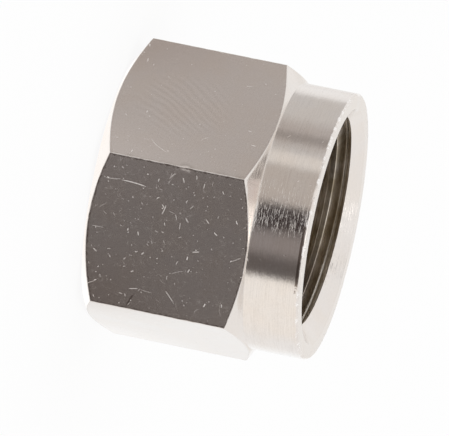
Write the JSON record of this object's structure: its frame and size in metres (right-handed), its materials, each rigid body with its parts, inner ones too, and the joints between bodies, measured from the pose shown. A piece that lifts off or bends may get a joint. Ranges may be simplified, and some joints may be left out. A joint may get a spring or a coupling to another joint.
{
  "type": "union nut",
  "caption": "Hexagonal union nut with a round collar, an internal thread and an inner cone that presses a cutting ring onto a tube.",
  "frame": {"origin": "centre of the flat face at the closed, hexagon end, on the axis of the thread", "axes": "+Z along the thread's axis to the open end; +Y and -Y are square to two opposite flats of the hexagon; +X runs through two of its corners"},
  "size_m": [0.022, 0.019, 0.0155],
  "materials": {
    "nickel": "nickel plated brass, turned and milled, lightly scratched"
  },
  "bodies": {
    "root": {"union_nut": "nickel"}
  },
  "joints": []
}
